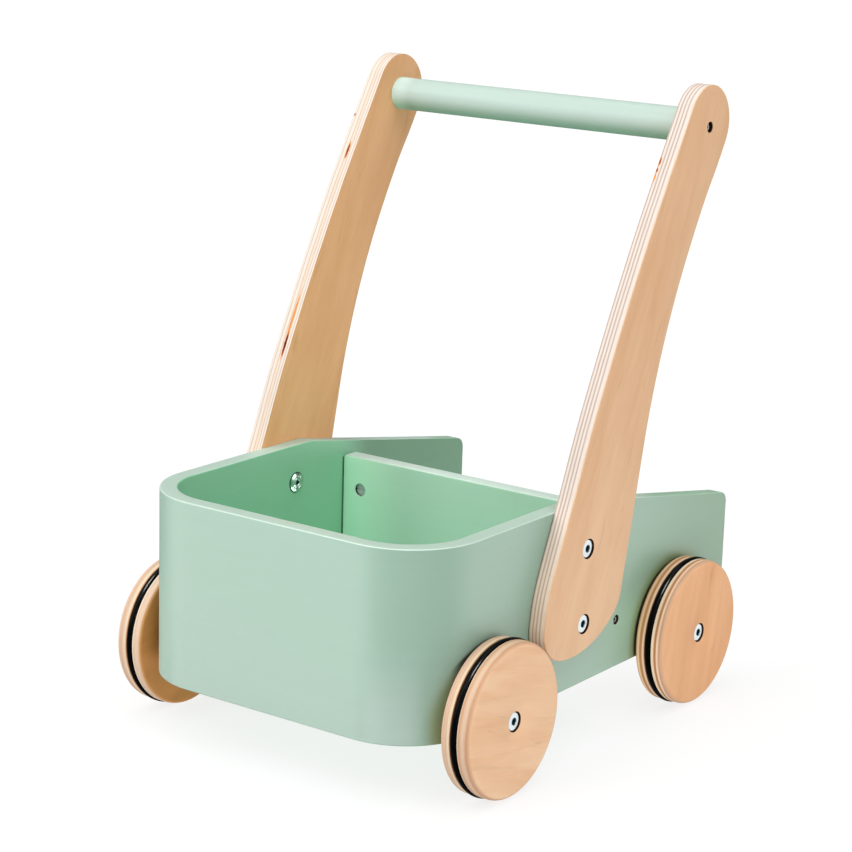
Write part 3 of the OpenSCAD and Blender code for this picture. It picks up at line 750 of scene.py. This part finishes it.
WARM, PALE = (0.74, 0.42, 0.215), (0.86, 0.55, 0.335)
W, L = (0.83, 0.725, 0.66), (0.53, 0.42, 0.365)
ARM_PLIES_R = [(0.0, (0.72, 0.45, 0.26)), (0.9, (0.78, 0.60, 0.45)), (1.8, W), (3.6, W), (4.5, L), (4.9, L), (5.6, W), (6.7, W),
               (7.5, L), (8.0, L), (8.7, W), (9.7, W), (10.4, L), (11.0, L), (11.6, W), (12.7, W), (13.4, L), (13.9, L), (14.5, W)]
W, L, PEACH, RUST = (0.84, 0.745, 0.66), (0.60, 0.51, 0.44), (0.85, 0.68, 0.55), (0.66, 0.51, 0.42)
ARM_PLIES_L = [(0.0, (0.80, 0.66, 0.56)), (0.6, W), (2.3, W), (2.8, L), (3.1, L), (3.6, W), (5.3, W), (5.9, (0.84, 0.70, 0.58)),
               (6.3, RUST), (6.7, RUST), (7.2, PEACH), (8.8, PEACH), (9.3, RUST), (9.6, RUST), (10.1, W), (11.4, W), (11.8, L),
               (12.1, L), (12.5, W), (13.5, W), (14.0, (0.60, 0.31, 0.12)), (14.5, (0.60, 0.31, 0.12))]
LOW_PLY_LIGHT = (1.34, 1.22, 1.10)
arm_mats = {
    "left": birch("birch_arm_left", WX + ARM_T, 22.9, 2.0, WARM, PALE, ARM_PLIES_L, 0.8, low=LOW_PLY_LIGHT, flame=0.12, shaded=(0.9625, 0.895, 0.775),
                  foot_light=(0.15, 0.45, (1.27, 1.22, 1.18)),
                  knots=[((-144.9, 203.0, 289.5), (1.15, 26.0, 6.0), 26.0, 0.0), ((-144.5, 193.2, 270.6), (1.45, 14.0, 6.0), 26.0, 1.0),
                         ((-145.9, 271.5, 418.6), (1.45, 8.6, 6.0), 30.0, 0.72), ((-151.6, 287.3, 445.6), (0.7, 1.8, 6.0), 30.5, 1.0)]),
    "right": birch("birch_arm_right", WX + ARM_T, 22.9, 6.4, WARM, PALE, ARM_PLIES_R, 0.8, low=LOW_PLY_LIGHT, wall_shadow_z=0.190, flame=0.10,
                   foot_light=(0.05, 0.30, (1.10, 1.17, 1.26)),
                   knots=[((140.0, 283.0, 438.1), (1.1, 4.4, 6.0), 30.5, 0.6), ((139.9, 279.3, 432.0), (1.1, 2.4, 6.0), 30.5, 0.6),
                          ((139.9, 276.2, 426.8), (0.9, 4.5, 6.0), 30.5, 0.0)]),
}
CREAM, GROOVE_SHADE = (0.88, 0.77, 0.66), (0.22, 0.08, 0.035)
WHEEL_FR = [(0.0, (0.71, 0.45, 0.30)), (1.2, (0.73, 0.47, 0.31)), (1.9, (0.64, 0.36, 0.21)), (2.7, (0.64, 0.36, 0.21)),
            (3.6, (0.73, 0.48, 0.33)), (4.6, (0.73, 0.54, 0.39)), (6.3, (0.73, 0.54, 0.39)), (7.3, (0.69, 0.43, 0.27)),
            (8.1, (0.66, 0.39, 0.23)), (9.0, (0.66, 0.39, 0.23)), (9.7, (0.84, 0.72, 0.58)), (16.2, (0.40, 0.14, 0.06)),
            (16.7, (0.82, 0.66, 0.46)), (18.4, (0.82, 0.66, 0.46)), (19.0, (0.68, 0.49, 0.34)), (20.5, (0.74, 0.51, 0.365)),
            (21.7, (0.71, 0.46, 0.32)), (22.6, (0.73, 0.50, 0.36)), (23.4, (0.79, 0.59, 0.45)), (24.5, (0.79, 0.59, 0.45))]
WHEEL_RR = [(0.0, (0.74, 0.45, 0.28)), (1.5, (0.78, 0.48, 0.31)), (2.3, (0.62, 0.38, 0.24)), (3.1, (0.62, 0.38, 0.24)),
            (4.0, (0.95, 0.68, 0.48)), (4.9, (0.95, 0.68, 0.48)), (5.7, (0.50, 0.22, 0.09)), (7.0, (0.50, 0.22, 0.09)),
            (7.8, (0.95, 0.72, 0.52)), (10.1, (0.95, 0.76, 0.58)), (16.1, (0.88, 0.62, 0.42)), (17.6, (0.88, 0.62, 0.42)),
            (18.4, (0.50, 0.24, 0.10)), (20.0, (0.50, 0.24, 0.10)), (20.8, (0.86, 0.60, 0.36)), (22.0, (0.86, 0.60, 0.36)),
            (23.0, (0.60, 0.35, 0.22)), (24.5, (0.60, 0.35, 0.22))]
WHEEL_L = [(0.0, (0.74, 0.50, 0.36)), (0.8, (0.77, 0.60, 0.49)), (2.8, (0.77, 0.58, 0.46)), (3.7, (0.74, 0.47, 0.32)),
           (5.4, (0.70, 0.47, 0.31)), (6.4, (0.74, 0.57, 0.41)), (7.4, (0.79, 0.63, 0.49)), (8.1, (0.90, 0.72, 0.54)),
           (9.0, (0.90, 0.70, 0.50)), (9.8, (0.75, 0.42, 0.22)), (16.1, (0.86, 0.78, 0.68)), (17.2, (0.86, 0.73, 0.57)),
           (18.0, (0.74, 0.53, 0.37)), (19.0, (0.79, 0.56, 0.40)), (20.0, (0.80, 0.61, 0.47)), (21.7, (0.78, 0.58, 0.44)),
           (22.6, (0.82, 0.56, 0.37)), (23.4, (0.70, 0.38, 0.17)), (24.5, (0.62, 0.30, 0.10))]
WHEEL_PLIES = {"front_left": WHEEL_L, "rear_left": WHEEL_L, "front_right": WHEEL_FR, "rear_right": WHEEL_RR}
wheel_mats = {}
for name, lean, seed, k, y in (("front_left", 70.0, 1.3, (1.08, 1.12, 1.16), AXLE_F), ("front_right", -76.0, 4.9, (1.15, 1.20, 1.28), AXLE_F),
                               ("rear_left", 40.0, 8.8, (1.08, 1.0, 0.94), AXLE_R), ("rear_right", 12.0, 12.1, (1.10, 0.975, 0.885), AXLE_R)):
    wheel_mats[name] = birch("birch_wheel_" + name, WHEEL_O, lean, seed, tuple(min(1.0, c * q) for c, q in zip(WARM, k)),
                             tuple(min(1.0, c * q) for c, q in zip(PALE, k)), WHEEL_PLIES[name], 1.0, centre=((y + Y0) * MM, AXLE_Z * MM),
                             inside=(0.58, 0.25, 0.075), groove=(10.2, 16.0, GROOVE_SHADE),
                             flame={"front_right": 0.25, "rear_right": 0.12}.get(name, 0.2))

bright = metal("zinc_bright", (0.80, 0.85, 0.87), 0.22, 0.0, 0.08)
# the green tint of the base is a painted reflection of the green walls round the sleeve nuts
chrome = metal("zinc_polished", (0.48, 0.60, 0.53), 0.18, 17.0, 0.04)
# painted shade and painted reflection: a dark teal base inside the hexagon sockets
socket = metal("zinc_socket", (0.03, 0.16, 0.19), 0.40, 23.0, 0.10)
# painted shade: dark bases for the walls of holes and counterbores
bore = bore_shade("birch_bore", (0.020, 0.010, 0.006))
bore_green = bore_shade("panel_bore", (0.028, 0.048, 0.032))
bore_brown = bore_shade("wall_bore", (0.045, 0.018, 0.010))
# near-black base: the dark zinc of the partition bolts with painted shade for heads deep in their holes; on the handle
# screws it is painted shade only
dark_zinc_and_shade = metal("zinc_dark_and_shade", (0.10, 0.07, 0.06), 0.38, 31.0, 0.16)
black = rubber("rubber_ring")
nylon = plastic("nylon_natural")
barrel = metal("zinc_barrel", (0.74, 0.74, 0.74), 0.45, 41.0, 0.12, 0.35)
shade = metal("zinc_edge", (0.03, 0.10, 0.06), 0.40, 61.0, 0.10)
# painted highlight: a pale, rough finish that shows as a glint in the sunk heads
glint = metal("zinc_painted_glint", (0.80, 0.74, 0.68), 0.5, 53.0, 0.10, 0.3)


def place(ob, mat, body, slot, *nodes):
    ob.data.materials.clear()
    ob.data.materials.append(mat)
    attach(ob, body)
    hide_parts(*nodes)


place(wall, paint_wall, "chassis", "paint_wall", "tub_wall")
# painted light: the wall's paint comes in two copies, a duller one outside standing for the sheen and a deeper, greener
# one inside standing for the shade and the light bounced round the tub
wall.data.materials.append(paint_inside_shaded)
for poly in wall.data.polygons:
    px, py = abs(poly.center.x) / MM, poly.center.y / MM - Y0
    if py >= CORNER:
        depth = WX - px
    elif px <= WX - CORNER:
        depth = py
    else:
        depth = CORNER - math.hypot(px - (WX - CORNER), py - CORNER)
    poly.material_index = 1 if depth > WALL - 0.6 else 0
place(partition, paint_panel, "chassis", "paint_panel", "partition_panel")
place(floor_board, paint_floor, "chassis", "paint_panel", "floor_panel")
place(bar, paint_bar, "chassis", "paint_bar", "handle_bar")
for side, _ in SIDES:
    place(arms[side], arm_mats[side], "chassis", "arm_ply", "arm_" + side)
place(screws, dark_zinc_and_shade, "chassis", "zinc", "handle_screws")
place(arm_bolts, bright, "chassis", "zinc", "arm_bolts")
place(arm_nuts, chrome, "chassis", "zinc", "arm_nuts")
place(part_bolts, dark_zinc_and_shade, "chassis", "dark_zinc", "partition_bolts")
place(axle_bolts, bright, "chassis", "zinc", "axle_bolts")
place(axle_nuts, chrome, "chassis", "zinc", "axle_nuts")
for name in wheels:
    place(wheels[name], wheel_mats[name], name + "_wheel", "wheel_ply", "wheel_" + name)
    place(tyres[name], black, name + "_wheel", "ring_rubber", "tyre_" + name)



def inner(ob, mat, spots, radius, x0, x1):
    """Faces of ob nearer than radius to an axis along X at one of the spots (y, z), between |x| = x0 and x1, take mat."""
    ob.data.materials.append(mat)
    index = len(ob.data.materials) - 1
    for poly in ob.data.polygons:
        cx, cy, cz = abs(poly.center.x) / MM, poly.center.y / MM - Y0, poly.center.z / MM
        if x0 <= cx <= x1 and any(math.hypot(cy - y, cz - z) < radius for y, z in spots):
            poly.material_index = index


axle_spots = [(y, AXLE_Z) for _, y in AXLES]
# the walls of the partition bolts' holes in the side wall: bare wood, darkened further by painted shade
inner(wall, bore_brown, [(PART_M, z) for z in PART_BOLTS], 3.95, WI + 0.5, WX - 0.3)
# painted shade in the arms' counterbores and the bar's hole, and in the wheels' bores
for side, _ in SIDES:
    inner(arms[side], bore, list(ARM_BOLTS), 7.72, WX + 0.5, WX + ARM_T - 0.15)
    inner(arms[side], bore, [(BAR_Y, BAR_Z)], 4.27, WX + BAR_SEAT + 0.5, WX + ARM_T - 0.3)
for name in wheels:
    inner(wheels[name], bore, axle_spots, 7.75, WHEEL_X + 0.5, WHEEL_O - 0.3)
# painted shade: the sockets of bolts and sleeve nuts take the dark teal base
inner(arm_bolts, socket, list(ARM_BOLTS), 2.95, ha - 2.4, ha - 0.35)
inner(axle_bolts, socket, axle_spots, 2.95, hx - 2.4, hx - 0.35)
inner(arm_nuts, socket, list(ARM_BOLTS), 2.25, WI - 1.7, WI + 0.5)
inner(axle_nuts, socket, axle_spots, 2.25, WI - 1.7, WI + 0.5)
# painted highlight round the sockets of the partition bolts and the handle screws
inner(part_bolts, glint, [(PART_M, z) for z in PART_BOLTS], 2.1, hp - 0.3, hp + 0.1)
inner(screws, glint, [(BAR_Y, BAR_Z)], 2.8, hs + 2.7, hs + 3.1)
arm_nuts.data.materials.append(shade)
for poly in arm_nuts.data.polygons:                # the flange's border lies in its own shadow
    cx, cy, cz = abs(poly.center.x) / MM, poly.center.y / MM - Y0, poly.center.z / MM
    if WI - 0.85 < cx < WI + 0.1 and min(math.hypot(cy - y, cz - z) for y, z in ARM_BOLTS) > 7.85:
        poly.material_index = 2
# painted shade: the walls of the barrel-nut holes take a dark tone
partition.data.materials.append(bore_green)
partition.data.materials.append(paint("mint_paint_lit_edge", (0.62, 0.80, 0.68), 4.4, gloss=0.25))
for poly in partition.data.polygons:
    cx, cy, cz = poly.center.x / MM, poly.center.y / MM - Y0, poly.center.z / MM
    if PART_Y + 0.75 < cy < PART_Y + 12 and any(math.hypot(abs(cx) - (WI - BARREL_IN), cz - z) < 5.05 for z in PART_BOLTS):
        poly.material_index = 1
    elif PART_Y + 0.05 < cy < PART_Y + 0.72 and any(math.hypot(abs(cx) - (WI - BARREL_IN), cz - z) < 5.8 for z in PART_BOLTS):
        poly.material_index = 2                    # painted highlight on the edge of the hole

# CAD nodes that stay, with a finish of their own
for node, mat in [("barrel_nuts", barrel), ("axle_washers", nylon)] + [("bush_" + n, nylon) for n in wheels]:
    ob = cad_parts[node]
    ob.data.materials.clear()
    ob.data.materials.append(mat)


# ---- stage, light and camera -------------------------------------------------------------

me = bpy.data.meshes.new("studio_floor")
me.from_pydata([(-20, -20, -0.0004), (20, -20, -0.0004), (20, 20, -0.0004), (-20, 20, -0.0004)], [], [(0, 1, 2, 3)])
ground = bpy.data.objects.new("studio_floor", me)
scene.collection.objects.link(ground)
g = Shade("studio_white")
g.set("Base Color", g.mix(g.noise(g.p, 3.0, 2.0), (0.175, 0.175, 0.175), (0.185, 0.185, 0.185)))
g.set("Roughness", 0.9)
g.set("Specular IOR Level", 0.1)
g.set("Emission Color", (1.0, 1.0, 1.0))
g.set("Emission Strength", 0.80)
me.materials.append(g.mat)
ground.visible_glossy = False
ground.visible_shadow = False

world = bpy.data.worlds.new("studio")
scene.world = world
world.use_nodes = True
world.node_tree.nodes["Background"].inputs[0].default_value = (1.0, 1.0, 1.0, 1.0)
world.node_tree.nodes["Background"].inputs[1].default_value = 0.20


def soft_sun(name, towards, level, spread, sheen_on=(), colour=(1.0, 1.0, 1.0), clear=False, lights=False):
    """Very soft directional light: level is the brightness it gives a white face turned to it.
    sheen_on lists the pieces on which a side panel of the studio only shows as a sheen, or which it lights, if lights
    is set; where it is clear, the other pieces don't stand in its way."""
    light = bpy.data.lights.new(name, "SUN")
    light.energy = level * math.pi
    light.angle = math.radians(spread)
    light.color = colour
    ob = bpy.data.objects.new(name, light)
    scene.collection.objects.link(ob)
    ob.rotation_euler = Vector(towards).to_track_quat("Z", "Y").to_euler()
    if sheen_on:
        ob.visible_diffuse = lights
        group = bpy.data.collections.new(name + "_pieces")
        for piece in sheen_on:
            group.objects.link(piece)
        ob.light_linking.receiver_collection = group
        if clear:
            ob.light_linking.blocker_collection = free
    return ob


free = bpy.data.collections.new("no_shade")
free.objects.link(ground)
soft_sun("key", (-0.50, -0.75, 0.55), 0.42, 50)
soft_sun("top", (0.05, -0.12, 1.0), 0.80, 80)
soft_sun("fill", (0.75, -0.45, 0.45), 0.20, 60)
soft_sun("panel_left", (-0.66, -0.70, -0.241), 0.80, 66, [wall], (1.0, 0.84, 0.92))
soft_sun("panel_right", (0.68, 0.69, -0.241), 0.46, 60, [wall], (1.0, 0.99, 0.94))
soft_sun("panel_bolts", (0.566, 0.789, -0.241), 0.25, 64, [arm_bolts, axle_bolts], (0.94, 0.985, 1.0), True)
soft_sun("panel_bolts_left", (-0.80, -0.30, 0.10), 0.60, 120, [arm_bolts, axle_bolts, screws, part_bolts], (0.94, 0.985, 1.0), True)
soft_sun("panel_screws", (0.566, 0.789, -0.241), 0.12, 50, [screws, part_bolts], (1.0, 0.95, 0.92), True)
soft_sun("strip_right", (0.50, -0.14, 0.85), 3.5, 24, [tyres["front_right"], tyres["rear_right"]])
soft_sun("strip_left", (-0.05, -0.30, 0.95), 4.5, 26, [tyres["front_left"], tyres["rear_left"]])
soft_sun("fill_treads", (-0.30, -0.85, 0.45), 0.33, 40, [wheels["rear_left"], wheels["rear_right"]], clear=True, lights=True)
soft_sun("strip_nuts", (0.89, 0.40, 0.15), 0.25, 30, [arm_nuts], clear=True)
low_strip = soft_sun("strip_nuts_low", (0.667, 0.42, -0.60), 0.17, 28, [arm_nuts], clear=True)
low_strip.data.cycles.use_multiple_importance_sampling = False

scene.view_settings.view_transform = "Standard"
scene.view_settings.look = "None"

az, el, roll = math.radians(35.6513), math.radians(13.9598), math.radians(1.7087)
back = Vector((math.sin(az) * math.cos(el), -math.cos(az) * math.cos(el), math.sin(el)))
right = Vector((math.cos(az), math.sin(az), 0.0))
up = back.cross(right)
eye = (Vector((0, 150, 200)) * 1.18 + right * 6.5568 + up * -6.4388 + back * 1907.9725) * MM + Vector((0, Y0 * MM, 0.001))
right, up = math.cos(roll) * right + math.sin(roll) * up, -math.sin(roll) * right + math.cos(roll) * up
camera = bpy.data.cameras.new("view")
camera.sensor_width = 36.0
camera.lens = 36.0 * 2492.9642 / 852
camera.clip_start, camera.clip_end = 0.05, 100.0
cam = bpy.data.objects.new("view", camera)
cam.matrix_world = Matrix(((right.x, up.x, back.x, eye.x), (right.y, up.y, back.y, eye.y),
                           (right.z, up.z, back.z, eye.z), (0, 0, 0, 1)))
scene.collection.objects.link(cam)
scene.camera = cam

bpy.context.view_layer.update()
